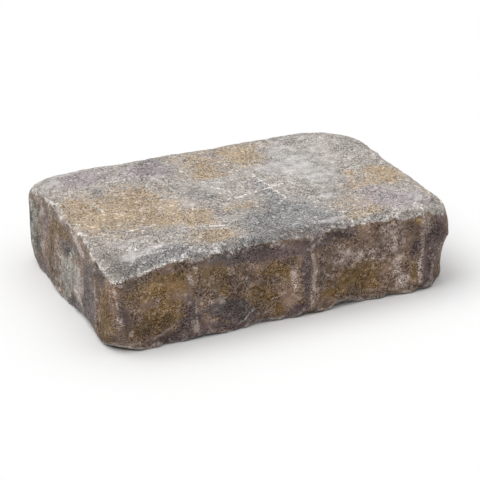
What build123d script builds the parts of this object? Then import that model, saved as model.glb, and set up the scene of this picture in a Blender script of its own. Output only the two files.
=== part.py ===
from build123d import *

import os
from math import radians, sin, sqrt
from typing import NamedTuple

# A tumbled concrete paver, cast as one block. Its walls swell and hollow a little, narrow
# spacer ribs stand on them, the edges are worn round and the corners and edges are chipped.
# Millimetres, +Z up, origin at the middle of the bed face, front wall towards -Y.

# Overall size, over the walls and without the ribs
LENGTH = 229.0
WIDTH = 152.0
THICKNESS = 57.0

# Worn edges: how far the wear eats into the top or bed face, and how far along the wall
TOP_WEAR_FRONT = (14.0, 4.0)
TOP_WEAR_RIGHT = (12.0, 7.5)
TOP_WEAR_BACK = (13.0, 6.0)
TOP_WEAR_LEFT = (4.0, 2.5)
BED_WEAR = (2.5, 2.5)

# Upright corners: plan radius at mid height, and how much it grows over which height at the
# top and at the bed, where tumbling has knocked the corners off
CORNER_FRONT_RIGHT = (9.0, (32.0, 15.0), (10.0, 6.0))
CORNER_BACK_RIGHT = (20.0, (36.0, 14.0), (12.0, 8.0))
CORNER_BACK_LEFT = (9.0, (42.0, 14.0), (26.0, 17.0))
CORNER_FRONT_LEFT = (8.0, (16.0, 9.0), (24.0, 13.0))

# The front left corner is worn down to a slope: how far the slope reaches along the front and
# along the left wall, and how far down the corner
CORNER_SLOPE = (60.0, 44.0, 10.0)

# Spacer ribs: half-round, with round ends, from near the bed to below the worn crown. They
# stand proud of the overall size, and go round the block from each corner at an even pitch.
RIB_RADIUS = 2.5
RIB_PROUD = 1.7
RIB_FOOT = 3.5
RIB_HEAD = 8.0
RIB_FIRST = 53.5
RIB_PITCH = 76.2

# Chips are scooped out as if by a barrel whose girth at the middle has this radius
CHIP_GIRTH = 36.0

QUARTER = 90.0
ROUNDING_STEPS = 7


class Station(NamedTuple):
    """A place on a wall, as a share of its run between the corners, and its swell outwards."""

    share: float
    swell: float


class Corner(NamedTuple):
    """An upright corner: its plan radius, and the growth of that radius at the top and the bed."""

    radius: float
    top_wear: tuple
    bed_wear: tuple


class Wall(NamedTuple):
    """One wall: its stations, half its length, its reach, its top edge and the corner it ends in."""

    stations: tuple
    half: float
    reach: float
    top_wear: tuple
    corner: Corner


class EdgeChip(NamedTuple):
    """A chip on a wall's top or bottom edge: its place along the run, length and depth."""

    turn: int
    on_top: bool
    share: float
    length: float
    depth: float


class CornerChip(NamedTuple):
    """A chip on the upright corner that ends a wall: its height share, length and depth."""

    turn: int
    rise: float
    length: float
    depth: float


LONG_WALL = (
    Station(0.10, -0.5),
    Station(0.23, 0.6),
    Station(0.40, -0.8),
    Station(0.58, 0.7),
    Station(0.76, -0.9),
    Station(0.93, 0.5),
)
SHORT_WALL = (
    Station(0.13, -0.6),
    Station(0.33, 0.6),
    Station(0.62, -0.9),
    Station(0.88, 0.5),
)

# The walls in turn, each a quarter turn on from the last
FRONT, RIGHT, BACK, LEFT = range(4)
WALLS = (
    Wall(LONG_WALL, LENGTH / 2, WIDTH / 2, TOP_WEAR_FRONT, Corner(*CORNER_FRONT_RIGHT)),
    Wall(SHORT_WALL, WIDTH / 2, LENGTH / 2, TOP_WEAR_RIGHT, Corner(*CORNER_BACK_RIGHT)),
    Wall(LONG_WALL, LENGTH / 2, WIDTH / 2, TOP_WEAR_BACK, Corner(*CORNER_BACK_LEFT)),
    Wall(SHORT_WALL, WIDTH / 2, LENGTH / 2, TOP_WEAR_LEFT, Corner(*CORNER_FRONT_LEFT)),
)

EDGE_CHIPS = (
    EdgeChip(FRONT, False, 0.43, 26.0, 2.0),
    EdgeChip(FRONT, False, 0.69, 22.0, 3.5),
    EdgeChip(FRONT, True, 0.22, 14.0, 0.9),
    EdgeChip(FRONT, True, 0.59, 10.0, 1.4),
    EdgeChip(FRONT, True, 0.90, 18.0, 0.8),
    EdgeChip(BACK, False, 0.30, 30.0, 2.4),
    EdgeChip(LEFT, False, 0.70, 50.0, 3.2),
)
CORNER_CHIPS = (
    CornerChip(FRONT, 0.16, 46.0, 7.5),
    CornerChip(RIGHT, 0.30, 34.0, 1.8),
)


def worn_in(wear, left):
    """How far an edge is worn in where `left` remains up to its sharp height: a quarter ellipse."""
    across, down = wear
    share = max(0.0, 1 - left / down)
    return across * (1 - sqrt(1 - share**2))


def worn_off(wear):
    """How far a worn edge stands back from its sharp corner, measured along the diagonal."""
    p, q = (1 / size for size in wear)
    return sqrt(2) * (p + q - sqrt(2 * p * q)) / (p**2 + q**2)


def rounding(down):
    """Depths below a face at which a rounding that reaches `down` is drawn, the deepest first."""
    for step in range(ROUNDING_STEPS + 1):
        yield down * (1 - sin(radians(QUARTER * step / ROUNDING_STEPS)))


def worn_at(top_wear, bed_wear, height):
    """How far an edge is worn in at a height, from the top and from the bed."""
    return worn_in(top_wear, THICKNESS - height) + worn_in(bed_wear, height)


def wall_run(turn, height):
    """A wall's two ends and its face at a height, seen with that wall turned to the front."""
    before, wall, after = WALLS[turn - 1], WALLS[turn], WALLS[(turn + 1) % len(WALLS)]
    front_in, start_in, end_in = (
        worn_at(w.top_wear, BED_WEAR, height) for w in (wall, before, after)
    )
    start = start_in + corner_radius(turn - 1, height) - wall.half
    end = wall.half - corner_radius(turn, height) - end_in
    return start, end, front_in - wall.reach


def corner_radius(turn, height):
    """The plan radius, at a height, of the corner that ends a wall."""
    corner = WALLS[turn].corner
    return corner.radius + worn_at(corner.top_wear, corner.bed_wear, height)


def turned(turn, *xyz):
    """A point or direction carried round from the front to the wall it belongs to."""
    return Vector(*xyz).rotate(Axis.Z, QUARTER * turn)


def draw_section(height):
    """The block's outline at a height: four swelling walls, joined by round corners."""
    for turn, wall in enumerate(WALLS):
        start, end, face = wall_run(turn, height)
        spots = [(start + s.share * (end - start), face - s.swell) for s in wall.stations]
        points = [turned(turn, *spot) for spot in ((start, face), *spots, (end, face))]
        ahead = turned(turn, 1, 0)
        run = Spline(*points, tangents=(ahead, ahead))
        JernArc(run @ 1, run % 1, corner_radius(turn, height), QUARTER)


def slope_plane():
    """The plane of the slope at the front left corner, facing out of the block."""
    along_front, along_left, down = CORNER_SLOPE
    foot = Vector(-LENGTH / 2, -WIDTH / 2, THICKNESS - down)
    return Plane(foot, z_dir=Vector(-1 / along_front, -1 / along_left, 1 / down))


def rib_seats():
    """The foot of each rib's axis, sunk in its wall so that the rib's crest stands proud of it."""
    for turn, wall in enumerate(WALLS):
        end, face = wall_run(turn, THICKNESS / 2)[1:]
        along = RIB_FIRST - wall.half
        while along < end:
            yield turned(turn, along, face + RIB_RADIUS - RIB_PROUD, 0)
            along += RIB_PITCH


def chip_seats():
    """Each chip with the plane it is drawn on: X along the edge, Y out of the block."""
    for chip in EDGE_CHIPS:
        start, end, face = wall_run(chip.turn, THICKNESS / 2)
        spot = turned(chip.turn, start + chip.share * (end - start), face, THICKNESS * chip.on_top)
        along = turned(chip.turn, 1, 0, 0)
        out = turned(chip.turn, 0, -1, 1 if chip.on_top else -1).normalized()
        wear = WALLS[chip.turn].top_wear if chip.on_top else BED_WEAR
        yield chip, Plane(spot - out * worn_off(wear), along, along.cross(out))
    for chip in CORNER_CHIPS:
        end, face = wall_run(chip.turn, THICKNESS / 2)[1:]
        radius = WALLS[chip.turn].corner.radius
        out = turned(chip.turn, 1, -1, 0).normalized()
        hub = turned(chip.turn, end, face + radius, THICKNESS * chip.rise)
        along = Vector(0, 0, 1)
        yield chip, Plane(hub + out * radius, along, along.cross(out))


crown_down = max(wear[1] for w in WALLS for wear in (w.top_wear, w.corner.top_wear))
bed_up = max(BED_WEAR[1], *(w.corner.bed_wear[1] for w in WALLS))

with BuildPart() as paver:
    for height in rounding(bed_up):
        with BuildSketch(Plane.XY.offset(height)):
            with BuildLine():
                draw_section(height)
            make_face()
    loft(ruled=True)

    with BuildSketch(Plane.XY.offset(bed_up)):
        with BuildLine():
            draw_section(bed_up)
        make_face()
    extrude(amount=THICKNESS - crown_down - bed_up)

    for depth in rounding(crown_down):
        with BuildSketch(Plane.XY.offset(THICKNESS - depth)):
            with BuildLine():
                draw_section(THICKNESS - depth)
            make_face()
    loft(ruled=True)

    with BuildSketch(slope_plane()):
        Circle(LENGTH)
    extrude(amount=THICKNESS, mode=Mode.SUBTRACT)

    for seat in rib_seats():
        with BuildSketch(Plane(seat, (1, 0, 0), (0, -1, 0))):
            with BuildLine():
                spine = Line((0, RIB_FOOT), (0, THICKNESS - RIB_HEAD))
                head = JernArc(spine @ 1, (1, 0), RIB_RADIUS, -QUARTER)
                foot = JernArc(spine @ 0, (1, 0), RIB_RADIUS, QUARTER)
                Line(head @ 1, foot @ 1)
            make_face()
        revolve(axis=Axis(seat, (0, 0, 1)))

    for chip, edge in chip_seats():
        with BuildSketch(edge):
            with BuildLine():
                tip = chip.length / sqrt(2)
                scoop = ThreePointArc((-tip, chip.depth), (0, -chip.depth), (tip, chip.depth))
                axle = CHIP_GIRTH - chip.depth
                Polyline(scoop @ 1, (tip, axle), (-tip, axle), scoop @ 0)
            make_face()
        revolve(axis=Axis(edge.from_local_coords((0, axle, 0)), edge.x_dir), mode=Mode.SUBTRACT)

paver.part.label = "paver"
os.makedirs("parts", exist_ok=True)
export_step(paver.part, "parts/paver.step")
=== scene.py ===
from itertools import product
from math import cos, radians, sin
from typing import NamedTuple

import bpy
import numpy as np
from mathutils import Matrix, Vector


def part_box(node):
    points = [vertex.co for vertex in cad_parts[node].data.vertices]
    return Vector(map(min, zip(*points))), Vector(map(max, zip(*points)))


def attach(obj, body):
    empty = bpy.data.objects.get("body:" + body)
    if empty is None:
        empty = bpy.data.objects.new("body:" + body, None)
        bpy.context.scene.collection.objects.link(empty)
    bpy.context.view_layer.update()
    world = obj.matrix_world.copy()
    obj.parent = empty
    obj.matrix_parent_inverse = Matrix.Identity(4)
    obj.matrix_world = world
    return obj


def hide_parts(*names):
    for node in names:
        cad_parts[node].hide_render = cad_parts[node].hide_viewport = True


bl_info = {
    "name": "Tumbled concrete paver",
    "version": (1, 0, 0),
    "blender": (4, 5, 0),
    "location": "View3D > Sidebar > Paver",
    "description": "Gives a cast paver its tumbled relief and its blended concrete colours",
    "category": "Add Mesh",
}

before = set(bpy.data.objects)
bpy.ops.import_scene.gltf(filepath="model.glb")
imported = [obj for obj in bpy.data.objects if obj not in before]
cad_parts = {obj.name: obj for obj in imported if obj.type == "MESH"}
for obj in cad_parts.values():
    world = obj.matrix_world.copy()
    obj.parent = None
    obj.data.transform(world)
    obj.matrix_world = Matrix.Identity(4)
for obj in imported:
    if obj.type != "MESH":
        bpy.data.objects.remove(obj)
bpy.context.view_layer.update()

MM = 0.001
SOLID = "paver"
PIECE = "paver_cast"

# Where the colours of the mix lie, in millimetres: two places along the face, two half widths
# and a strength. Top places are x and y, front ones x and z, left ones -y and z. Algae is a film
# on the left wall, and soil is dirt over the colours, and also painted shade in hollows and under
# creases.
TOP_BLOTCHES = {
    "ochre": (
        (-80, -4, 40, 32, 0.75), (-103, 8, 11, 28, 0.5), (-62, 17, 13, 15, 0.6),
        (-72, -12, 24, 10, 0.45), (-64, -25, 12, 7, 0.55), (-41, -31, 11, 12, 0.8),
        (-41, -60, 17, 11, 0.65), (-4, 44, 13, 17, 0.75), (28, 46, 13, 19, 1.0),
        (-8, 28, 13, 9, 0.6), (20, 63, 18, 6, 0.5), (-20, 62, 10, 7, 0.4), (76, -7, 6, 6, 0.7),
        (96, -12, 12, 9, 1.0), (92, -25, 13, 8, 0.75), (70, -25, 13, 9, 0.45),
        (56, -50, 18, 16, 0.35), (47, 58, 9, 9, 0.3), (97, 52, 9, 9, 0.3),
        (112, -48, 5, 20, 0.5), (55, -67, 18, 6, 0.6), (-10, -27, 13, 8, 0.45),
    ),
    "slate": (
        (-86, 60, 18, 7, 0.35), (16, -16, 8, 16, 0.6), (-32, 25, 11, 13, 0.1),
        (76, -33, 7, 8, 0.5), (76, -61, 6, 7, 0.6), (-26, 4, 14, 12, 0.3), (-22, -8, 8, 6, 0.5),
        (12, 0, 5, 10, 0.4), (-4, -49, 20, 11, 0.85), (15, -38, 15, 12, 0.75),
        (40, -20, 14, 10, 0.2), (24, -50, 18, 11, 0.75), (-22, 62, 8, 6, 0.2),
        (-36, 56, 11, 14, 0.9), (-83, 30, 5, 13, 0.7), (97, 28, 8, 18, 0.4),
        (10, -62, 30, 6, 1.0), (-10, -71, 60, 6, 1.0), (-82, -67, 27, 7, 0.95),
        (62, -72, 9, 6, 0.7),
    ),
    "plum": (
        (-34, 50, 11, 13, 1.0), (-84, 54, 28, 14, 0.75), (-26, -32, 6, 8, 0.6),
        (82, -57, 16, 10, 1.0), (60, -58, 14, 10, 0.5), (101, -62, 8, 10, 0.6),
        (76, -38, 14, 10, 0.6), (-84, -38, 14, 5, 0.3), (-48, 50, 8, 12, 0.8),
        (8, 55, 5, 8, 0.7), (62, 58, 12, 10, 0.4), (-12, -20, 16, 6, 0.3), (66, -18, 6, 6, 0.6),
        (10, -76, 46, 3, 0.9),
    ),
    "lime": (
        (54, 26, 24, 26, 0.6), (54, -6, 16, 20, 0.5), (86, 46, 16, 16, 0.25),
        (46, 52, 7, 8, 0.4), (-38, -12, 6, 9, 0.35), (-93, -49, 13, 5, 0.4),
        (-90, -60, 20, 3.5, 0.8), (84, -67, 12, 3, 0.4), (-113, -30, 4, 26, 0.2),
        (-37, 38, 7, 4, 0.7), (97, -57, 5, 8, 0.7), (97, -40, 5, 6, 0.4), (47, -35, 6, 9, 0.6),
        (32, 20, 8, 13, 0.4), (-92, 69, 20, 4, 0.7), (-104, 56, 8, 8, 0.7),
        (-8, 12, 13, 9, 0.5), (72, 64, 18, 5, 0.4), (-46, -70, 9, 4, 0.5),
        (34, -67, 14, 3, 0.6),
    ),
    "soil_and_shade": (
        (-36, 53, 10, 14, 0.55), (-84, 24, 4, 14, 0.2), (-109, 11, 4, 12, 0.3),
        (-109, -30, 4, 16, 0.3), (-6, -74, 36, 6, 0.85), (20, -74, 26, 5, 0.85),
        (-96, -71, 14, 6, 0.7), (67, -69, 3, 4, 0.5), (96, -75, 12, 4, 0.7),
        (-106, -60, 8, 16, 0.9), (-4, -31, 8, 6, 0.4), (8, 40, 2.5, 4, 0.3),
    ),
}
FRONT_BLOTCHES = {
    "ochre": (
        (-84, 39, 14, 7, 0.85), (-70, 43, 14, 5, 0.75), (-50, 38, 10, 7, 1.0),
        (-80, 20, 12, 10, 0.95), (-97, 16, 9, 7, 0.7), (-43, 28, 4, 5, 0.5),
        (-10, 37, 9, 6, 0.7), (-1, 33, 4, 6, 0.7), (-17, 20, 8, 9, 0.8), (-8, 8, 4, 6, 1.0),
        (48, 22, 16, 8, 0.75), (32, 14, 12, 7, 0.6), (55, 13, 8, 6, 0.8), (60, 31, 10, 6, 0.2),
        (88, 48, 5, 4, 0.6), (87, 15, 4, 10, 0.6), (-100, 36, 8, 7, 0.5),
    ),
    "slate": (
        # Slate at (-96, 46) is painted shade under the lip of the crease
        (-42, 17, 14, 5, 1.0), (-32, 10, 12, 5, 0.9), (-30, 50, 27, 6, 0.8),
        (-33, 30, 5, 8, 0.3), (-96, 46, 14, 3, 0.4), (86, 31, 4, 6, 0.7),
        (17, 49, 2.4, 2.4, 1.0), (-50, 38, 10, 6, 0.35), (-64, 12, 7, 10, 0.4),
        (98, 19, 5, 14, 0.5),
    ),
    "plum": (
        # Painted shade in plum: the dark band under the front crease at (-4, 48), (32, 48) and
        # (-80, 49), the strips beside the middle rib at (11.5, 28) and (20.5, 26), and the dark
        # band by the left corner at (-106, 26)
        (-64, 12, 8, 12, 1.0), (-66, 27, 5, 6, 0.7), (-4, 48, 30, 6, 0.7),
        (11.5, 28, 3, 18, 0.9), (98, 18, 5, 18, 1.0), (105, 30, 9, 20, 0.95), (7, 5, 7, 6, 1.0),
        (-74, 3, 20, 4, 0.8), (32, 48, 22, 5, 0.55), (84, 45, 10, 6, 0.5), (-40, 4, 24, 4, 0.7),
        (20.5, 26, 2, 18, 0.7), (-80, 49, 16, 3, 0.4), (-106, 26, 5, 12, 0.6),
        (86, 30, 5, 7, 0.6), (36, 3, 14, 3, 0.3),
    ),
    "lime": (
        (-62.5, 41, 1.6, 4, 0.8), (-48, 23, 6, 3, 0.6), (-25, 33, 4, 8, 0.6),
        (5, 28, 5, 9, 0.3), (75, 43, 7, 9, 0.5), (78, 12, 6, 9, 0.6), (75, 24, 4, 8, 0.4),
        (31, 37, 12, 8, 0.38), (-111, 40, 2, 2, 0.8), (-109, 30, 2, 2.5, 0.8),
        (-107, 46, 2, 1.5, 0.7), (-110, 20, 2, 3, 0.7), (-103, 14, 2, 2.5, 0.7),
        (-100, 27, 1.5, 2, 0.6), (-112, 10, 3, 3, 0.7), (-98, 4, 7, 3, 0.5),
        (84, 51, 7, 2, 0.2), (103, 50, 6, 2.5, 0.5), (-18, 53, 26, 2.5, 0.3),
        (52, 53, 20, 2.5, 0.25), (15, 53, 3, 1.5, 0.7), (-100, 51, 8, 1.5, 0.5),
        (-60, 9, 4, 4, 0.4), (93, 47, 3, 6, 0.6), (66, 33, 10, 9, 0.42), (94, 39, 10, 5, 0.42),
        (-36, 38, 7, 5, 0.36), (44, 31, 9, 5, 0.4), (58, 33, 14, 8, 0.22), (62, 46, 8, 4, 0.4),
        (-86, 31, 4, 3, 0.5), (15.4, 25, 1.5, 22, 1.0), (-61, 22, 1.4, 10, 0.5),
        (91.6, 22, 1.3, 20, 0.7),
    ),
    "soil_and_shade": (
        # Painted shade in soil: under the front crease at z 47 to 53, beside the middle rib at (12,
        # 24) and by the left corner at (-105, 24); it is also darker in the dent over the rib at
        # (17, 50)
        (-54, 35, 11, 9, 0.75), (-100, 42, 8, 8, 0.8), (-60, 51, 9, 5, 0.8),
        (-105, 24, 2.5, 14, 0.5), (-48, 52, 12, 3, 0.3), (0, 53, 26, 3, 0.35),
        (38, 53, 22, 3, 0.2), (85, 53, 9, 3.5, 0.6), (-64, 11, 7, 9, 0.3),
        (-40, 16, 14, 6, 0.25), (99, 24, 4, 12, 0.4), (17, 50, 2.5, 2.5, 0.7),
        (-98, 20, 5, 8, 0.3), (9, 16, 6, 8, 0.3), (33, 47, 8, 3, 0.4), (12, 24, 2, 18, 0.3),
    ),
}
LEFT_BLOTCHES = {
    "ochre": (
        (-25, 34, 6, 15, 0.9), (-10, 45, 13, 6, 0.8), (-25, 16, 6, 10, 0.9),
        (67, 24, 8, 16, 1.0), (-38, 20, 8, 8, 0.3), (62, 12, 8, 7, 0.7),
    ),
    "slate": (
        (16, 42, 12, 6, 0.6), (0, 36, 9, 5, 0.7), (35, 26, 6, 15, 1.0), (8, 4, 12, 6, 1.0),
        (-56, 20, 9, 10, 0.75), (-64, 34, 8, 14, 0.8), (42, 40, 8, 6, 0.6),
        (-25, 20, 6, 12, 0.75), (-42, 4, 18, 5, 0.6), (28, 8, 12, 6, 0.9), (35, 14, 8, 10, 0.8),
        (58, 46, 7, 6, 0.6), (-12, 46, 12, 5, 0.5),
    ),
    "plum": (
        (-44, 45, 18, 8, 0.4), (58, 46, 6, 6, 1.0), (-36, 36, 7, 10, 0.4), (46, 20, 6, 14, 0.8),
        (-50, 6, 10, 3, 0.7), (36, 12, 8, 8, 0.6),
    ),
    "lime": (
        (2, 22, 14, 8, 1.0), (14, 25, 10, 6, 0.8), (22, 22, 5, 10, 0.9),
        (52.5, 26, 1.5, 16, 0.6), (-28, 26, 3, 5, 0.5), (22, 48, 10, 4, 0.7),
        (-46, 44, 14, 8, 0.35), (-6, 13, 11, 5, 0.55),
    ),
    "algae": (
        (6, 24, 22, 13, 0.5), (-4, 10, 18, 8, 0.45), (14, 40, 14, 6, 0.2),
        (-58, 30, 14, 24, 0.6),
    ),
    "soil_and_shade": (
        (-24, 18, 9, 12, 1.0), (-25, 17, 5, 6, 0.7), (-24, 36, 6, 7, 0.85),
        (-10, 46, 12, 5, 0.5), (8, 3, 8, 4, 0.9), (33, 26, 5, 12, 0.5), (48, 36, 10, 10, 0.5),
        (66, 24, 9, 15, 0.4), (58, 44, 11, 7, 0.8), (36, 18, 12, 14, 0.3), (30, 7, 12, 4, 0.4),
        (3, 37, 7, 4, 0.15),
    ),
}

# How strong each colour gets on the faces out of view, where noise lays it out
HIDDEN = {"ochre": 0.8, "slate": 0.8, "plum": 0.8, "lime": 0.8, "algae": 0.3, "soil_and_shade": 0.25}

# The order in which the colours are laid over the grey
LAID_ORDER = ("slate", "plum", "ochre", "lime", "algae")

# Pale scuffs left by tumbling, in millimetres: both ends, half width and strength. Top ones give
# x and y, front ones x and z.
TOP_SCUFFS = (
    ((-12, -15), (28.5, -6), 0.9, 0.7),
    ((18.8, 16.5), (21.6, -27), 0.7, 0.65),
    ((-13, 8), (-5.5, -4.3), 0.9, 0.7),
    ((-17, 18.5), (-1.3, 9.6), 1.0, 0.7),
    ((-87, -33), (-66.6, -29.5), 0.9, 0.7),
    ((-54.7, -41.3), (-28, -49), 0.8, 0.6),
    ((-70, 41), (-59, 41.6), 1.1, 0.7),
    ((-42, 41), (-38, 24), 1.2, 0.5),
    ((-91, 13), (-89, 0), 0.9, 0.6),
    ((-72, -64), (-102, -60), 0.9, 0.5),
    ((80, -8), (89, -19), 0.8, 0.4),
)
FRONT_SCUFFS = (
    ((-88, 6), (-75, 12.4), 0.8, 0.8),
    ((24, 27), (29, 22.7), 0.8, 0.6),
    ((-10.7, 15.5), (-2, 18.3), 0.6, 0.5),
    ((-33, 4), (-22, 11.5), 0.8, 0.5),
    ((0, 36), (5, 34), 0.7, 0.5),
    ((64, 34), (67, 35), 0.7, 0.5),
)

# Knocks that dent the worn edges, in millimetres: middle, radius and depth
KNOCKS = (
    ((-60, -79, 56), 7, 1.6),
    ((-61, -80.5, 32), 6, 1.4),
    ((-61, -80.5, 24), 6, 1.4),
    ((-61, -80.5, 15), 6, 1.4),
    ((-61, -80.5, 7), 6, 1.4),
    ((-113, -76, 2), 16, 2.4),
    ((-78, -78, 54), 5, 1.2),
    ((17, -79, 52.5), 5, 2.2),
    ((-25, -78, 57), 12, 1.0),
    ((46, -79, 56), 14, 1.2),
    ((84, -78, 56), 12, 1.6),
    ((107, -72, 52), 16, 2.0),
    ((-20.5, -78, 1), 7, 2.0),
    ((-54, -79, -2), 9, 1.2),
    ((70, -79, -2), 9, 1.0),
    ((-118, 20, 57), 10, 1.2),
    ((-117, 48, 57), 14, 1.5),
    ((-118, -40, 57), 9, 1.0),
    ((-50, 79, 56), 12, 0.8),
    ((118, -30, 40), 12, 1.0),
    ((60, 79, 3), 12, 1.8),
    ((-100, -77, 50), 5, 1.2),
    ((-90, -79, 52), 4, 1.0),
    ((-40, -79, 54), 5, 1.2),
    ((-5, -79, 55), 6, 1.3),
    ((31, -79, 54), 6, 1.4),
    ((70, -79, 54), 6, 1.5),
    ((80, -79, 52), 4, 1.3),
    ((97, -77, 53), 6, 1.6),
    ((105, -74, 49), 5, 1.4),
    ((-117, 0, 56), 5, 1.1),
    ((-117, -16, 55), 5, 1.0),
    ((-117, -55, 51), 6, 1.3),
    ((-113, -69, 48), 5, 1.2),
    ((-117, -50, 0), 5, 1.5),
    ((-117, -22, 1), 6, 1.6),
    ((-117, 14, 0), 5, 1.4),
    ((-108, -74, 0), 6, 1.8),
    ((-80, -79, 0), 6, 1.3),
    ((-36, -79, 0), 5, 1.1),
    ((12, -79, 0), 6, 1.2),
    ((34, -79, 0), 6, 1.3),
    ((92, -78, 0), 7, 1.4),
    ((118, 30, 52), 9, 1.2),
    ((30, 79, 52), 8, 1.2),
    ((-90, 78, 2), 9, 1.4),
)


class Noise(NamedTuple):
    """Layered noise: its wavelength in millimetres, its seed and its number of layers."""

    wavelength: float
    seed: int
    layers: int = 3


class Pits(NamedTuple):
    """Round pits: spacing and radius in millimetres, the share of places that hold one, a seed."""

    spacing: float
    radius: float
    share: float
    seed: int


class Texture(NamedTuple):
    """Noise in the material: its wavelength in millimetres, its detail and its roughness."""

    wavelength: float
    detail: float
    roughness: float = 0.55


# Relief of the block: how far outside the solid the box starts, in millimetres, its fewest cells
# along a side, and the noise and the pits of each kind
START_CLEARANCE = 3
FEWEST_CELLS = 4
SWELLS = Noise(42, 31, 2)
LUMPS = Noise(13, 41)
GRAIN = Noise(3.4, 21, 2)
CRUMBS = Noise(5, 61)
CRUMBLED = Noise(9, 11)
KNOCK_EDGES = Noise(7, 81, 2)
SMALL_PITS = Pits(7, 2.0, 0.14, 51)
LARGE_PITS = Pits(14, 3.4, 0.14, 71)

# Fields of the block: how far the blotches wander, and the noise that breaks up each field
WANDER_REACH = 5
WANDERS = (Noise(16, 301), Noise(16, 331))
BLOTCHED = {colour: Noise(34, 400 + 7 * n) for n, colour in enumerate(HIDDEN)}
FLANK_EDGE = Noise(7, 131)
STAINS = Noise(9, 91)
RIM_BREAKS = Noise(8, 141)
# The left wall takes less of the wall colours, their umber and their painted shade, by this
# share, which fades out between these places, in millimetres, towards the front
LEFT_PALENESS = 0.26
LEFT_PALE_FROM = (-62, -48)
# The pale rim fades in between these heights, in millimetres from the top
CROWN_HEIGHTS = (-14, -8)

# The concrete: its textures, the streaks that stretch crumbs and paste a little, the spacing of
# its sand in millimetres, and how strong sand, flecks, dirt with painted shade, shine and bump are
COARSE = Texture(24, 4.0)
BROKEN = Texture(6.5, 5.0, 0.65)
CRUMBLY = Texture(1.2, 4.0, 0.8)
PASTE = Texture(9.0, 5.0, 0.62)
STREAKS = (0.87, 1.05, 0.85)
FINE_SAND, LARGE_SAND = 0.6, 2.5
SAND_GAIN, DARKEST_SAND, PALEST_SAND = 0.76, -0.58, 0.95
SAND_GREYNESS = 0.6
FLECK_GAIN, FLECK_SCUFF = 1.8, 0.4
DIRT_AND_SHADE_COVER = 0.85
SPECULAR = 0.2
BUMP_STRENGTH, BUMP_DEPTH = 0.8, 0.5 * MM

# Scuffs waver by this much over this wavelength, and break up; across the face they have less
# weight, so that the height of the relief hardly counts
SCUFF_WAVER, SCUFF_WAVE = 3.0, 7
SCUFF_BREAKS = Texture(2.2, 2.0)
TOP_WEIGHTS, FRONT_WEIGHTS = (1, 1, 0.1), (1, 0.1, 1)

# Stage: the floor's finish, the key light and the camera's aim, beside and below its centre
FLOOR_ROUGHNESS = 0.9
KEY_SPREAD = radians(50)
KEY_WAY = (0.5, -0.12, -0.86)
SENSOR_WIDTH = 36
FAR_LIMIT = 50
VIEW_HEIGHT, AIM_RIGHT, AIM_DOWN = 28.15 * MM, 2.43 * MM, 6.48 * MM

HASH_PRIMES = np.array((0x9E3779B97F4A7C15, 0xC2B2AE3D27D4EB4F, 0x165667B19E3779F9), np.uint64)
HASH_MIX = np.uint64(0xFF51AFD7ED558CCD)
HASH_SHIFT = np.uint64(33)
HASH_DROP = np.uint64(11)
HASH_RANGE = float(2**52)


def hashed(cells, seed):
    """A number in -1..1 for each row of whole numbers: the row times large primes, mixed up."""
    mixed = np.bitwise_xor.reduce(cells.astype(np.uint64) * HASH_PRIMES, axis=1)
    mixed = mixed + np.uint64(seed) * HASH_PRIMES[0]
    mixed = (mixed ^ (mixed >> HASH_SHIFT)) * HASH_MIX
    mixed = (mixed ^ (mixed >> HASH_SHIFT)) * HASH_MIX
    return (mixed >> HASH_DROP).astype(float) / HASH_RANGE - 1


def value_noise(points, wavelength, seed):
    """Smooth noise in -1..1: a random number at each corner of a cubic lattice of that wavelength,
    blended inside each cell by 3t^2 - 2t^3 along x, y and z."""
    place = points / wavelength
    cell = np.floor(place).astype(np.int64)
    t = place - cell
    t = t * t * (3 - 2 * t)
    total = np.zeros(len(points))
    for corner in product((0, 1), repeat=3):
        weight = np.where(corner, t, 1 - t).prod(axis=1)
        total += weight * hashed(cell + corner, seed)
    return total


def layered_noise(points, wavelength, seed, layers):
    """Value noise summed over layers, each with half the wavelength and half the height."""
    parts = [value_noise(points, wavelength / 2**n, seed + n) / 2**n for n in range(layers)]
    return sum(parts) / (2 - 2 ** (1 - layers))


def pit_field(points, spacing, radius, share, seed):
    """Round pits in 0..1: a share of the cells of a cubic lattice hold one pit each, at a random
    place and of a random size, and its depth there is 1 - (distance / radius)^2."""
    cell = np.floor(points / spacing).astype(np.int64)
    field = np.zeros(len(points))
    for step in product((-1, 0, 1), repeat=3):
        near = cell + step
        jitter = np.stack([hashed(near, seed + n) for n in range(3)], axis=1)
        centre = (near + 0.5 + 0.45 * jitter) * spacing
        size = radius * (0.75 + 0.25 * hashed(near, seed + 3))
        depth = 1 - ((points - centre) ** 2).sum(axis=1) / size**2
        held = hashed(near, seed + 4) < 2 * share - 1
        field = np.maximum(field, np.where(held, depth, 0))
    return field


def smooth_step(low, high, value):
    """0 below low, 1 above high, and 3t^2 - 2t^3 between."""
    t = np.clip((value - low) / (high - low), 0, 1)
    return t * t * (3 - 2 * t)


def box_lattice(cells):
    """The skin of a box as points in -1..1 and outward quads: each of its six faces is a grid of
    two parameters with the third at one end, and points that faces share are merged."""
    counts = np.array(cells) + 1
    strides = np.array((counts[1] * counts[2], counts[2], 1))
    faces = []
    for fixed in range(3):
        u, v = (fixed + 1) % 3, (fixed + 2) % 3
        grid_u, grid_v = np.meshgrid(np.arange(cells[u]), np.arange(cells[v]), indexing="ij")
        first = (grid_u * strides[u] + grid_v * strides[v]).ravel()
        across, up = strides[u], strides[v]
        quad = np.stack((first, first + across, first + across + up, first + up), axis=1)
        faces += [quad[:, ::-1], quad + cells[fixed] * strides[fixed]]
    used, quads = np.unique(np.concatenate(faces), return_inverse=True)
    points = np.stack(np.unravel_index(used, counts), axis=1)
    return points / cells * 2 - 1, quads.reshape(-1, 4)


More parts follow.
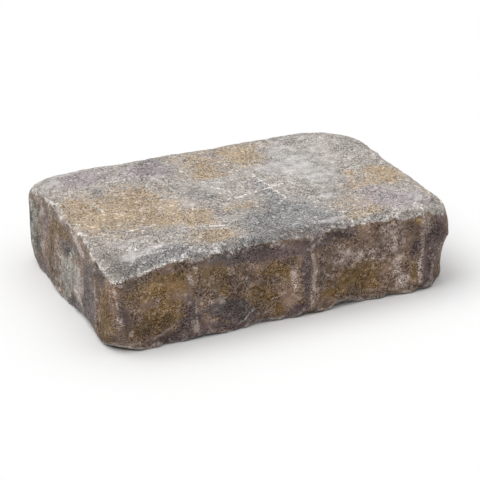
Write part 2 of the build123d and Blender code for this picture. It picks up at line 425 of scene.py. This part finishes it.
def rounded_box(unit, half, centre, radius):
    """A box with round edges: each point is drawn in to a core that is smaller by the radius,
    then moved out again by the radius, the way it came."""
    point = unit * half
    core = np.clip(point, radius - half, half - radius)
    out = point - core
    return centre + core + radius * out / np.linalg.norm(out, axis=1, keepdims=True)


def quad_edges(quads):
    """Each side of the quads once, as pairs of point numbers."""
    sides = np.concatenate([quads[:, (n, (n + 1) % 4)] for n in range(4)])
    return np.unique(np.sort(sides, axis=1), axis=0)


def relaxed(values, edges, passes, share=0.5):
    """Values moved towards the mean of their neighbours by a share, over and over."""
    count = len(values)
    ends = np.concatenate((edges[:, 0], edges[:, 1]))
    others = np.concatenate((edges[:, 1], edges[:, 0]))
    degree = np.bincount(ends, minlength=count)
    for _ in range(passes):
        mean = [np.bincount(ends, column[others], count) / degree for column in values.T]
        values = values + share * (np.stack(mean, axis=1) - values)
    return values


def point_normals(points, quads):
    """Outward unit normals: a point's is the sum of the cross products of its quads' diagonals."""
    corner = points[quads]
    cross = np.cross(corner[:, 2] - corner[:, 0], corner[:, 3] - corner[:, 1])
    total = np.zeros_like(points)
    for axis in range(3):
        weight = np.repeat(cross[:, axis], 4)
        total[:, axis] = np.bincount(quads.ravel(), weight, len(points))
    return total / np.linalg.norm(total, axis=1, keepdims=True)


def new_mesh(name, points, quads):
    """A mesh object at the origin from arrays of points, in metres, and quads."""
    mesh = bpy.data.meshes.new(name)
    mesh.from_pydata(points, [], quads)
    mesh.polygons.foreach_set("use_smooth", np.ones(len(quads), bool))
    mesh.update()
    made = bpy.data.objects.new(name, mesh)
    bpy.context.scene.collection.objects.link(made)
    return made


def read_points(mesh):
    """A mesh's points as an array."""
    flat = np.empty(len(mesh.vertices) * 3, np.float32)
    mesh.vertices.foreach_get("co", flat)
    return flat.reshape(-1, 3).astype(float)


def seat_on_solid(made, solid):
    """Draws every point in along its normal until it meets the solid."""
    wrap = made.modifiers.new("seat", "SHRINKWRAP")
    wrap.target = solid
    wrap.wrap_method = "PROJECT"
    wrap.use_positive_direction = False
    wrap.use_negative_direction = True
    shown = made.evaluated_get(bpy.context.evaluated_depsgraph_get())
    points = read_points(shown.data)
    made.modifiers.remove(wrap)
    return points


def edge_nearness(points, half, centre, reach):
    """1 on the block's edges, falling to 0 at a reach from them: the second smallest of the
    distances to the box's sides is the distance to its nearest edge."""
    depth = np.sort(half - np.abs(points - centre), axis=1)
    return 1 - smooth_step(0, reach, depth[:, 1])


def knocked(points):
    """How deep the knocks dent each point: depth (1 - (distance / radius)^2)^2, the deepest one."""
    dent = np.zeros(len(points))
    for middle, radius, depth in KNOCKS:
        inside = np.clip(1 - ((points - middle) ** 2).sum(axis=1) / radius**2, 0, 1)
        dent = np.maximum(dent, depth * inside**2)
    return dent


def face_shares(normals):
    """How much a point belongs to the top, front and left faces, from its normal."""
    toward = {"top": normals[:, 2], "front": -normals[:, 1], "left": -normals[:, 0]}
    return {name: smooth_step(0.35, 0.75, value) for name, value in toward.items()}


def blotch_field(points, blotches, along, up, wander):
    """The soft union of ellipses on one face: 1 minus the product of 1 - strength exp(-d^2), where
    d is the distance from an ellipse's middle over its half widths, in wandering coordinates."""
    u = points @ along + wander[:, 0]
    v = points @ up + wander[:, 1]
    clear = np.ones(len(points))
    for mid_u, mid_v, half_u, half_v, strength in blotches:
        square = ((u - mid_u) / half_u) ** 2 + ((v - mid_v) / half_v) ** 2
        clear *= 1 - strength * np.exp(-square)
    return 1 - clear


def colour_fields(points, normals):
    """A field in 0..1 for each colour of the mix: laid out on the faces in view, and blotched by
    noise on the others. Points are in millimetres."""
    wander = np.stack([layered_noise(points, *noise) for noise in WANDERS], axis=1) * WANDER_REACH
    share = face_shares(normals)
    seen = np.clip(sum(share.values()), 0, 1)
    faces = (
        (TOP_BLOTCHES, share["top"], np.array((1, 0, 0)), np.array((0, 1, 0))),
        (FRONT_BLOTCHES, share["front"], np.array((1, 0, 0)), np.array((0, 0, 1))),
        (LEFT_BLOTCHES, share["left"], np.array((0, -1, 0)), np.array((0, 0, 1))),
    )
    fields = {}
    total = np.maximum(sum(share.values()), 1)
    for colour, hidden in HIDDEN.items():
        blotched = smooth_step(0.05, 0.6, layered_noise(points, *BLOTCHED[colour]))
        laid = sum(
            weight * blotch_field(points, table.get(colour, ()), along, up, wander)
            for table, weight, along, up in faces
        )
        fields[colour] = laid / total + (1 - seen) * hidden * blotched
    return fields


def wall_colour_and_shade_field(points, normals):
    """How strongly the wall colours replace those of the top, with a ragged edge between them:
    the walls' own umber together with painted shade that makes them darker than the top; least
    on the left wall, except near the front."""
    ragged = np.abs(normals[:, 2]) + 0.3 * layered_noise(points, *FLANK_EDGE)
    rise = 1 - smooth_step(0.36, 0.72, ragged)
    left = smooth_step(0.4, 0.9, -normals[:, 0]) * smooth_step(*LEFT_PALE_FROM, points[:, 1])
    return rise * (1 - LEFT_PALENESS * left)


def relief_height(points, near_edge, rim, shape):
    """How far the relief moves each point out: swells, lumps and grain, with crumbs along the
    edges, less what crumbled from the edges and the pits. Each is noise times its own height."""
    crumble = near_edge * smooth_step(0.0, 0.8, layered_noise(points, *CRUMBLED))
    pits = np.maximum(pit_field(points, *SMALL_PITS), pit_field(points, *LARGE_PITS))
    return (
        shape.swell / MM * layered_noise(points, *SWELLS)
        + shape.lumps / MM * layered_noise(points, *LUMPS)
        + shape.grain / MM * layered_noise(points, *GRAIN)
        + shape.crumbs / MM * near_edge * rim * layered_noise(points, *CRUMBS)
        - shape.crumble / MM * crumble
        - shape.pit_depth / MM * pits
    )


def weather_fields(points, proud, near_edge, top):
    """Fields in 0..1 of wear, soil with painted shade, and the pale rim, from how far a point
    stands
    proud of what is around it: wear takes what stands proud, soil and painted shade darken what
    lies deep, as shade in hollows, and what is stained; the rim takes the proud crumbs of the
    crown, broken up by noise."""
    stained = near_edge * smooth_step(0.05, 0.5, layered_noise(points, *STAINS))
    upper = np.maximum(smooth_step(*CROWN_HEIGHTS, points[:, 2] - top), 0.5 * near_edge)
    crest = smooth_step(0.06, 0.34, proud) * upper
    return {
        "wear": smooth_step(0.08, 0.34, proud),
        # Painted shade in hollows, with stains along the edges
        "soil_and_shade": np.maximum(smooth_step(0.1, 0.45, -proud), 0.6 * stained),
        "rim": crest * smooth_step(-0.35, 0.15, layered_noise(points, *RIM_BREAKS)),
    }


def cast_block(shape):
    """The new block, its points in millimetres and its fields. A rounded box is drawn in to the
    solid, softened and knocked, and then moved along its normals by the relief."""
    low, high = (np.array(corner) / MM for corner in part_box(SOLID))
    half, centre = (high - low) / 2, (high + low) / 2
    cells = np.maximum(np.round(2 * half / (shape.cell / MM)), FEWEST_CELLS).astype(int)
    unit, quads = box_lattice(cells)
    start = rounded_box(unit, half + START_CLEARANCE, centre, shape.start_round / MM)
    made = new_mesh(PIECE, start * MM, quads)
    points = seat_on_solid(made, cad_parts[SOLID]) / MM
    edges = quad_edges(quads)
    points = relaxed(points, edges, shape.soften)
    normals = point_normals(points, quads)
    uneven = 1 + 0.5 * layered_noise(points, *KNOCK_EDGES)
    points = points - (knocked(points) * uneven)[:, None] * normals
    normals = point_normals(points, quads)

    reach = shape.edge_reach / MM
    near_edge = edge_nearness(points, half, centre, reach)
    level = np.minimum(points[:, 2] - low[2], high[2] - points[:, 2])
    relief = relief_height(points, near_edge, 2 - smooth_step(0, reach, level), shape)
    moved = points + relief[:, None] * normals
    moved[:, 2] = np.clip(moved[:, 2], low[2], None)
    proud = ((moved - relaxed(moved, edges, shape.wear_passes)) * normals).sum(axis=1)

    fields = colour_fields(points, normals)
    weathered = weather_fields(points, proud, near_edge, high[2])
    # Painted shade and dirt, from the tables and from the hollows
    weathered["soil_and_shade"] = np.maximum(fields["soil_and_shade"], weathered["soil_and_shade"])
    fields |= weathered
    # How far the wall colours, partly painted shade, replace the top's, by how much a point faces
    # sideways
    fields["wall_colour_and_shade"] = wall_colour_and_shade_field(points, normals)
    fields["edge"] = near_edge
    return made, moved, fields


class Graph:
    """A node tree that is filled a node at a time."""

    def __init__(self, tree):
        self.tree = tree

    def add(self, kind, sockets=None, **settings):
        """A node with its settings; each named or numbered socket gets a value or a link."""
        node = self.tree.nodes.new(kind)
        for name, value in settings.items():
            setattr(node, name, value)
        for name, value in (sockets or {}).items():
            if isinstance(value, bpy.types.NodeSocket):
                self.tree.links.new(value, node.inputs[name])
            else:
                node.inputs[name].default_value = value
        return node

    def math(self, operation, *values, clamp=False):
        """One step of arithmetic on numbers or sockets."""
        sockets = dict(enumerate(values))
        return self.add("ShaderNodeMath", sockets, operation=operation, use_clamp=clamp).outputs[0]

    def times(self, first, *others):
        """Numbers or sockets multiplied in turn."""
        for other in others:
            first = self.math("MULTIPLY", first, other)
        return first

    def centred(self, value, reach):
        """A value in 0..1 moved to lie about 0, and scaled."""
        return self.math("MULTIPLY", self.math("SUBTRACT", value, 0.5), reach)

    def vector(self, operation, *values, out=0):
        """One step of vector arithmetic."""
        sockets = dict(enumerate(values))
        return self.add("ShaderNodeVectorMath", sockets, operation=operation).outputs[out]

    def scaled(self, vector, factor):
        """A vector or a colour times a number."""
        sockets = {0: vector, "Scale": factor}
        return self.add("ShaderNodeVectorMath", sockets, operation="SCALE").outputs[0]

    def ramp(self, value, low, high, to_low=0.0, to_high=1.0):
        """A smooth step from one number to another as a value passes from low to high."""
        sockets = {"Value": value, "From Min": low, "From Max": high}
        sockets |= {"To Min": to_low, "To Max": to_high}
        return self.add("ShaderNodeMapRange", sockets, interpolation_type="SMOOTHSTEP").outputs[0]

    def mix(self, factor, first, second):
        """Two colours mixed."""
        settings = {"data_type": "RGBA", "blend_type": "MIX", "clamp_factor": True}
        return self.add("ShaderNodeMix", {0: factor, 6: first, 7: second}, **settings).outputs[2]

    def noise(self, vector, wavelength, detail, roughness):
        """Noise in 0..1 of a wavelength in millimetres."""
        sockets = {"Vector": vector, "Scale": 1 / wavelength, "Detail": detail}
        sockets["Roughness"] = roughness
        return self.add("ShaderNodeTexNoise", sockets).outputs[0]

    def attribute(self, name):
        """One of the block's fields."""
        return self.add("ShaderNodeAttribute", attribute_name=name).outputs["Fac"]


def group_tree(name, inputs, outputs):
    """An empty shader node group with named sockets."""
    tree = bpy.data.node_groups.new(name, "ShaderNodeTree")
    for direction, sockets in (("INPUT", inputs), ("OUTPUT", outputs)):
        for label, kind in sockets:
            tree.interface.new_socket(label, in_out=direction, socket_type=kind)
    graph = Graph(tree)
    return tree, graph, graph.add("NodeGroupInput").outputs, graph.add("NodeGroupOutput").inputs


def scuff_group():
    """A mask of one straight scuff: 1 on the line between two ends, 0 beyond its half width. The
    offset from the line is weighed by axis, so that the height of the relief hardly counts."""
    tree, graph, given, result = group_tree(
        "Scuff",
        (("Place", "NodeSocketVector"), ("Start", "NodeSocketVector"),
         ("End", "NodeSocketVector"), ("Weights", "NodeSocketVector"),
         ("Half Width", "NodeSocketFloat"), ("Strength", "NodeSocketFloat")),
        (("Mask", "NodeSocketFloat"),),
    )
    from_start = graph.vector("SUBTRACT", given["Place"], given["Start"])
    run = graph.vector("SUBTRACT", given["End"], given["Start"])
    length_squared = graph.vector("DOT_PRODUCT", run, run, out=1)
    along = graph.vector("DOT_PRODUCT", from_start, run, out=1)
    share = graph.math("DIVIDE", along, length_squared, clamp=True)
    off = graph.vector("SUBTRACT", from_start, graph.scaled(run, share))
    weighed = graph.vector("MULTIPLY", off, given["Weights"])
    distance = graph.vector("LENGTH", weighed, out=1)
    ratio = graph.math("DIVIDE", distance, given["Half Width"])
    mask = graph.math("MULTIPLY", graph.ramp(ratio, 0.3, 1.5, 1.0, 0.0), given["Strength"])
    graph.tree.links.new(mask, result["Mask"])
    return tree


def sand_group():
    """Grains of sand: a random tone for each, and the height of its rounded top."""
    tree, graph, given, result = group_tree(
        "Sand",
        (("Place", "NodeSocketVector"), ("Spacing", "NodeSocketFloat")),
        (("Tone", "NodeSocketFloat"), ("Height", "NodeSocketFloat")),
    )
    scale = graph.math("DIVIDE", 1.0, given["Spacing"])
    cells = graph.add("ShaderNodeTexVoronoi", {"Vector": given["Place"], "Scale": scale})
    tone = graph.add("ShaderNodeSeparateColor", {0: cells.outputs["Color"]}).outputs[0]
    graph.tree.links.new(tone, result["Tone"])
    height = graph.math("SUBTRACT", 1.0, cells.outputs["Distance"])
    graph.tree.links.new(height, result["Height"])
    return tree


def scuff_mask(graph, place):
    """All the scuffs together, wavering a little and broken up."""
    sockets = {"Vector": place, "Scale": 1 / SCUFF_WAVE, "Detail": 2.0}
    waver = graph.add("ShaderNodeTexNoise", sockets).outputs["Color"]
    shift = graph.scaled(graph.vector("SUBTRACT", waver, (0.5, 0.5, 0.5)), SCUFF_WAVER)
    wavering = graph.vector("ADD", place, shift)
    tree = scuff_group()
    low, high = (np.array(corner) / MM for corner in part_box(SOLID))
    on_top = [
        ((*a, high[2]), (*b, high[2]), TOP_WEIGHTS, *rest)
        for a, b, *rest in TOP_SCUFFS
    ]
    on_front = [
        ((a[0], low[1], a[1]), (b[0], low[1], b[1]), FRONT_WEIGHTS, *rest)
        for a, b, *rest in FRONT_SCUFFS
    ]
    names = ("Start", "End", "Weights", "Half Width", "Strength")
    total = 0.0
    for scuff in on_top + on_front:
        sockets = {"Place": wavering, **dict(zip(names, scuff))}
        made = graph.add("ShaderNodeGroup", sockets, node_tree=tree)
        total = graph.math("MAXIMUM", total, made.outputs["Mask"])
    return graph.times(total, graph.ramp(graph.noise(place, *SCUFF_BREAKS), 0.2, 0.45))


class Concrete(Graph):
    """The nodes of the blended concrete: what its parts share, and then each part."""

    def __init__(self, tree, colours):
        super().__init__(tree)
        self.colours = colours
        self.place = self.scaled(self.add("ShaderNodeTexCoord").outputs["Object"], 1 / MM)
        self.wall_colour_and_shade = self.attribute("wall_colour_and_shade")
        self.soil_and_shade = self.attribute("soil_and_shade")
        self.coarse = self.noise(self.place, *COARSE)
        self.broken = self.noise(self.place, *BROKEN)
        streaked = self.vector("MULTIPLY", self.place, STREAKS)
        self.crumbs = self.noise(streaked, *CRUMBLY)
        self.exposed = self.ramp(self.noise(streaked, *PASTE), 0.43, 0.57)
        grains = sand_group()
        self.fine, self.large = (
            self.add("ShaderNodeGroup", {"Place": self.place, "Spacing": size}, node_tree=grains)
            for size in (FINE_SAND, LARGE_SAND)
        )
        pale = self.math("SUBTRACT", self.attribute("lime"), self.wall_colour_and_shade, clamp=True)
        self.rough = self.ramp(pale, 0.05, 0.55, 0.95, 0.25)

    def shade(self, name):
        """A colour of the mix: its pale tint on the top and its deep one on the walls, which is
        partly the walls' own colour and partly painted shade.
        """
        top, wall = getattr(self.colours, name), getattr(self.colours, name + "_wall")
        return self.mix(self.wall_colour_and_shade, (*top, 1), (*wall, 1))

    def blended(self):
        """The colours of the mix, laid in turn over the grey. Noise stirs each field where it has
        begun, and its edge is softer on the top than on the walls."""
        stir = self.math("ADD", self.centred(self.broken, 1.5), self.centred(self.crumbs, 0.3))
        low = self.ramp(self.wall_colour_and_shade, 0.0, 0.5, 0.1, 0.22)
        high = self.ramp(self.wall_colour_and_shade, 0.0, 0.5, 0.72, 0.56)
        colour = self.shade("grey")
        for name in LAID_ORDER:
            field = self.attribute(name)
            stirred = self.math("MULTIPLY_ADD", stir, self.ramp(field, 0.0, 0.25), field)
            cover = self.ramp(stirred, low, high, 0.0, 0.95)
            colour = self.mix(cover, colour, self.shade(name))
        return colour

    def weathered(self, colour):
        """The colour with pale wear on what stands proud, less where it is dark or dirty; then the
        scuffs, dark soil and painted shade in what lies deep and in creases, and the pale, crumbly
        rim of the crown."""
        dark_wall = self.math("MULTIPLY", self.attribute("slate"), self.wall_colour_and_shade)
        worn = self.times(
            self.attribute("wear"),
            self.ramp(self.crumbs, 0.36, 0.58),
            self.ramp(dark_wall, 0.0, 0.6, 0.7, 0.15),
            self.ramp(self.soil_and_shade, 0.1, 0.6, 1.0, 0.2),
        )
        colour = self.mix(worn, colour, self.shade("lime"))
        colour = self.mix(scuff_mask(self, self.place), colour, self.shade("scuff"))
        # The soil colour laid as painted shade in hollows and creases, and as dirt
        dirt_and_shade = self.times(self.soil_and_shade, self.ramp(self.broken, 0.25, 0.6, 0.4, 1.0), DIRT_AND_SHADE_COVER)
        colour = self.mix(dirt_and_shade, colour, (*self.colours.soil_and_shade, 1))
        rim = self.times(
            self.attribute("rim"),
            self.ramp(self.crumbs, 0.3, 0.55, 0.2, 0.75),
            self.ramp(self.soil_and_shade, 0.1, 0.6, 1.0, 0.35),
        )
        return self.mix(rim, colour, (*self.colours.scuff, 1))

    def sand_strength(self, patchy):
        """How far the sand swings the tone: little in smooth paste and pale cement, much where the
        sand is exposed, and more in the ochre and the blue grey. Where the sand is exposed it
        swings more on the walls than on the top, partly as painted shade of the grain under grazing
        light."""
        paste = self.ramp(self.wall_colour_and_shade, 0.0, 0.5, 0.5, 0.3)
        # Stronger on the walls, partly as painted shade of the grain
        bare = self.ramp(self.wall_colour_and_shade, 0.0, 0.5, 1.3, 1.75)
        return self.times(
            self.rough,
            self.ramp(patchy, -0.35, 0.35, 1.25, 0.75),
            self.ramp(self.attribute("ochre"), 0.0, 0.6, 1.0, 1.15),
            self.ramp(self.attribute("slate"), 0.0, 0.8, 1.0, 1.4),
            self.ramp(self.exposed, 0.0, 1.0, paste, bare),
        )

    def sanded(self, colour):
        """The colour with patches of tone, sand and pale flecks. The sand's tone is multiplied by
        its own size, so that most grains are faint and a few are strong, and it swings partly in
        grey and partly in the colour's own hue."""
        patchy = self.math("ADD", self.centred(self.coarse, 1.3), self.centred(self.broken, 1.7))
        depth = self.math("MULTIPLY", patchy, self.ramp(self.wall_colour_and_shade, 0.1, 0.6, 0.8, 2.1))
        tone = self.math("POWER", 2.0, depth)
        tone = self.math("MULTIPLY", tone, self.ramp(self.exposed, 0.0, 1.0, 1.05, 0.95))
        shaded = self.scaled(colour, tone)

        grains, large = self.fine.outputs["Tone"], self.large.outputs["Tone"]
        sand = self.math("ADD", self.centred(grains, 2.2), self.centred(self.crumbs, 2.6))
        sand = self.math("ADD", sand, self.centred(large, 0.2))
        size = self.math("MULTIPLY_ADD", self.math("ABSOLUTE", sand), 1.15, 0.38)
        sand = self.times(sand, size, self.sand_strength(patchy), SAND_GAIN)
        sand = self.math("MINIMUM", self.math("MAXIMUM", sand, DARKEST_SAND), PALEST_SAND)
        grey = self.add("ShaderNodeRGBToBW", {0: shaded}).outputs[0]
        swing = self.mix(SAND_GREYNESS, shaded, grey)
        sanded = self.vector("MULTIPLY_ADD", swing, sand, shaded)

        chosen = self.math("MULTIPLY_ADD", self.attribute("edge"), 0.16, large)
        fleck = self.times(
            self.ramp(chosen, 0.88, 0.96),
            self.ramp(self.large.outputs["Height"], 0.4, 0.7),
            self.rough,
        )
        lit = self.mix(FLECK_SCUFF, self.scaled(shaded, FLECK_GAIN), self.shade("scuff"))
        return self.mix(fleck, sanded, lit)

    def grain_height(self):
        """The height of grains and crumbs, lower in smooth paste and in pale cement."""
        large = self.math("MULTIPLY", self.large.outputs["Height"], 0.3)
        grains = self.math("MULTIPLY_ADD", self.fine.outputs["Height"], 0.6, large)
        return self.times(
            self.math("ADD", grains, self.crumbs),
            self.ramp(self.exposed, 0.0, 1.0, 0.5, 1.2),
            self.math("MULTIPLY_ADD", self.rough, 0.5, 0.52),
        )


def concrete_material(colours):
    """Blended concrete: the mix, then its weathering, then its sand, over a bump of the grains."""
    material = bpy.data.materials.new("blended concrete")
    material.use_nodes = True
    concrete = Concrete(material.node_tree, colours)
    heights = {"Strength": BUMP_STRENGTH, "Distance": BUMP_DEPTH, "Height": concrete.grain_height()}
    varying = {
        "Base Color": concrete.sanded(concrete.weathered(concrete.blended())),
        "Roughness": concrete.ramp(concrete.broken, 0.3, 0.7, 0.82, 0.97),
        "Normal": concrete.add("ShaderNodeBump", heights).outputs[0],
    }
    shader = concrete.tree.nodes["Principled BSDF"]
    for name, socket in varying.items():
        concrete.tree.links.new(socket, shader.inputs[name])
    shader.inputs["Specular IOR Level"].default_value = SPECULAR
    return material


def colour_property(name, description, default):
    """A colour that a user can change."""
    return bpy.props.FloatVectorProperty(
        name=name, description=description, default=default, size=3, min=0, max=1, subtype="COLOR"
    )


def length_property(name, description, millimetres):
    """A length that a user can change, kept in metres."""
    return bpy.props.FloatProperty(
        name=name, description=description, default=millimetres * MM, min=0,
        unit="LENGTH", subtype="DISTANCE", precision=5,
    )


def number_property(name, description, default, **settings):
    """A number that a user can change."""
    return bpy.props.FloatProperty(name=name, description=description, default=default, **settings)


def passes_property(name, description, default, least):
    """A number of passes that a user can change."""
    return bpy.props.IntProperty(name=name, description=description, default=default, min=least)


class PaverShape(bpy.types.PropertyGroup):
    """The relief of the cast block."""

    cell: length_property("Cell", "Size of the surface's quads", 1.1)
    start_round: length_property("Start Rounding", "Edge radius of the box that is drawn in", 14)
    soften: passes_property("Soften", "Passes that round the solid's arrises", 1, 0)
    wear_passes: passes_property("Wear", "Passes that find what stands proud", 12, 1)
    edge_reach: length_property("Edge Reach", "How far edges crumble into the faces", 9)
    swell: length_property("Swell", "Height of the long swells", 0.5)
    lumps: length_property("Lumps", "Height of the lumps", 0.42)
    grain: length_property("Grain", "Height of the coarse grain", 0.26)
    crumble: length_property("Crumble", "Depth lost along the edges", 1.3)
    crumbs: length_property("Crumbs", "Height of the crumbs along the edges", 0.95)
    pit_depth: length_property("Pits", "Depth of the pits", 0.6)


class PaverColours(bpy.types.PropertyGroup):
    """The colours of the mix, on the top and on the walls; the wall colours are darker partly as
    painted shade.
    """

    grey: colour_property("Grey", "Body of the mix", (0.36, 0.33, 0.302))
    # Each wall colour is the wall's own deeper colour and also painted shade, darker than the top
    grey_wall: colour_property("Umber", "Body of the mix on the walls", (0.23, 0.158, 0.115))
    slate: colour_property("Slate", "Blue grey", (0.23, 0.226, 0.224))
    slate_wall: colour_property("Wall Slate", "Blue grey on the walls", (0.12, 0.1, 0.096))
    plum: colour_property("Plum", "Mauve grey", (0.305, 0.27, 0.275))
    plum_wall: colour_property("Wall Plum", "Mauve grey on the walls", (0.134, 0.098, 0.094))
    ochre: colour_property("Ochre", "Yellow brown", (0.353, 0.275, 0.193))
    ochre_wall: colour_property("Wall Ochre", "Yellow brown on the walls", (0.207, 0.132, 0.064))
    lime: colour_property("Lime", "Pale, worn cement", (0.475, 0.453, 0.442))
    lime_wall: colour_property("Wall Lime", "Pale cement on the walls", (0.387, 0.31, 0.27))
    scuff: colour_property("Scuff", "Marks left by tumbling, and pale sand", (0.66, 0.62, 0.58))
    scuff_wall: colour_property("Wall Scuff", "Marks and pale sand on walls", (0.45, 0.375, 0.32))
    algae: colour_property("Algae", "Grey green film", (0.36, 0.352, 0.325))
    algae_wall: colour_property("Wall Algae", "Grey green film on the walls", (0.325, 0.308, 0.262))
    # Soil is also the colour of the painted shade in hollows and creases
    soil_and_shade: colour_property("Soil", "Dirt in pits and hollows", (0.095, 0.078, 0.068))


class PaverStage(bpy.types.PropertyGroup):
    """Floor, light and camera."""

    floor: colour_property("Floor", "Pale floor", (0.78, 0.78, 0.78))
    floor_size: length_property("Floor Size", "Side of the square floor", 8000)
    sky: number_property("Sky", "Brightness overhead", 1.65, min=0)
    horizon: number_property("Horizon", "Brightness low in the sky", 0.02, min=0)
    sun: number_property("Key Light", "Strength of the soft key light", 1.5, min=0)
    lens: number_property("Lens", "Focal length", 131.25, min=1, unit="CAMERA")
    azimuth: number_property(
        "Azimuth", "Camera's turn round the block", radians(-24.73), subtype="ANGLE"
    )
    elevation: number_property(
        "Elevation", "Camera's rise above the floor", radians(24.61), subtype="ANGLE"
    )
    distance: length_property("Distance", "From the camera to the block's middle", 1112.2)


class PAVER_OT_block(bpy.types.Operator):
    """Casts the block with its relief and its concrete around the solid"""

    bl_idname = "paver.block"
    bl_label = "Cast Block"

    def execute(self, context):
        block, points, fields = cast_block(context.scene.paver_shape)
        block.data.vertices.foreach_set("co", (points * MM).astype(np.float32).ravel())
        for name, field in fields.items():
            kept = block.data.attributes.new(name, "FLOAT", "POINT")
            kept.data.foreach_set("value", field.astype(np.float32))
        block.data.materials.append(concrete_material(context.scene.paver_colours))
        block.data.update()
        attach(block, "root")
        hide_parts(SOLID)
        return {"FINISHED"}


class PAVER_OT_stage(bpy.types.Operator):
    """Sets the floor, the light and the camera"""

    bl_idname = "paver.stage"
    bl_label = "Set Stage"

    def execute(self, context):
        stage = context.scene.paver_stage
        half = stage.floor_size / 2
        corners = np.array(((-half, -half, 0), (half, -half, 0), (half, half, 0), (-half, half, 0)))
        floor = new_mesh("floor", corners, np.array(((0, 1, 2, 3),)))
        paint = bpy.data.materials.new("pale floor")
        paint.use_nodes = True
        shader = paint.node_tree.nodes["Principled BSDF"]
        shader.inputs["Base Color"].default_value = (*stage.floor, 1)
        shader.inputs["Roughness"].default_value = FLOOR_ROUGHNESS
        shader.inputs["Specular IOR Level"].default_value = 0.0
        floor.data.materials.append(paint)
        make_light(context.scene, stage)
        make_camera(context.scene, stage)
        return {"FINISHED"}


def make_light(scene, stage):
    """A sky that is brightest overhead, and a broad, soft key light from the upper left."""
    world = bpy.data.worlds.new("soft sky")
    world.use_nodes = True
    scene.world = world
    graph = Graph(world.node_tree)
    direction = graph.add("ShaderNodeTexCoord").outputs["Generated"]
    rise = graph.add("ShaderNodeSeparateXYZ", {0: direction}).outputs["Z"]
    strength = graph.ramp(rise, 0.35, 1.0, stage.horizon, stage.sky)
    graph.tree.links.new(strength, graph.tree.nodes["Background"].inputs["Strength"])
    graph.tree.nodes["Background"].inputs["Color"].default_value = (1, 1, 1, 1)
    lamp = bpy.data.lights.new("key light", "SUN")
    lamp.energy = stage.sun
    lamp.angle = KEY_SPREAD
    key = bpy.data.objects.new("key light", lamp)
    key.rotation_euler = Vector(KEY_WAY).to_track_quat("-Z", "Y").to_euler()
    scene.collection.objects.link(key)
    scene.view_settings.view_transform = "Standard"


def make_camera(scene, stage):
    """A long lens at the photograph's angle, aimed a little below and beside the block's middle."""
    turn, rise = stage.azimuth, stage.elevation
    back = Vector((sin(turn) * cos(rise), -cos(turn) * cos(rise), sin(rise)))
    right = Vector((cos(turn), sin(turn), 0))
    up = back.cross(right)
    centre = Vector((0, 0, VIEW_HEIGHT))
    aim = centre + right * AIM_RIGHT - up * AIM_DOWN
    lens = bpy.data.cameras.new("camera")
    lens.lens = stage.lens
    lens.sensor_width = SENSOR_WIDTH
    lens.clip_end = FAR_LIMIT
    camera = bpy.data.objects.new("camera", lens)
    camera.location = centre + back * stage.distance
    camera.rotation_euler = (aim - camera.location).to_track_quat("-Z", "Y").to_euler()
    scene.collection.objects.link(camera)
    scene.camera = camera


class PAVER_PT_panel(bpy.types.Panel):
    """Lists the paver's operators and settings"""

    bl_label = "Paver"
    bl_idname = "PAVER_PT_panel"
    bl_space_type = "VIEW_3D"
    bl_region_type = "UI"
    bl_category = "Paver"

    def draw(self, context):
        for operator, settings in (
            ("paver.block", context.scene.paver_shape),
            (None, context.scene.paver_colours),
            ("paver.stage", context.scene.paver_stage),
        ):
            column = self.layout.column(align=True)
            for name in settings.bl_rna.properties.keys():
                if name not in ("rna_type", "name"):
                    column.prop(settings, name)
            if operator:
                self.layout.operator(operator)


GROUPS = {"paver_shape": PaverShape, "paver_colours": PaverColours, "paver_stage": PaverStage}
CLASSES = (*GROUPS.values(), PAVER_OT_block, PAVER_OT_stage, PAVER_PT_panel)


def register():
    for item in CLASSES:
        bpy.utils.register_class(item)
    for name, group in GROUPS.items():
        setattr(bpy.types.Scene, name, bpy.props.PointerProperty(type=group))


def unregister():
    for name in GROUPS:
        delattr(bpy.types.Scene, name)
    for item in reversed(CLASSES):
        bpy.utils.unregister_class(item)


def main():
    """Makes everything in order."""
    register()
    bpy.ops.paver.block()
    bpy.ops.paver.stage()


if __name__ == "__main__":
    main()
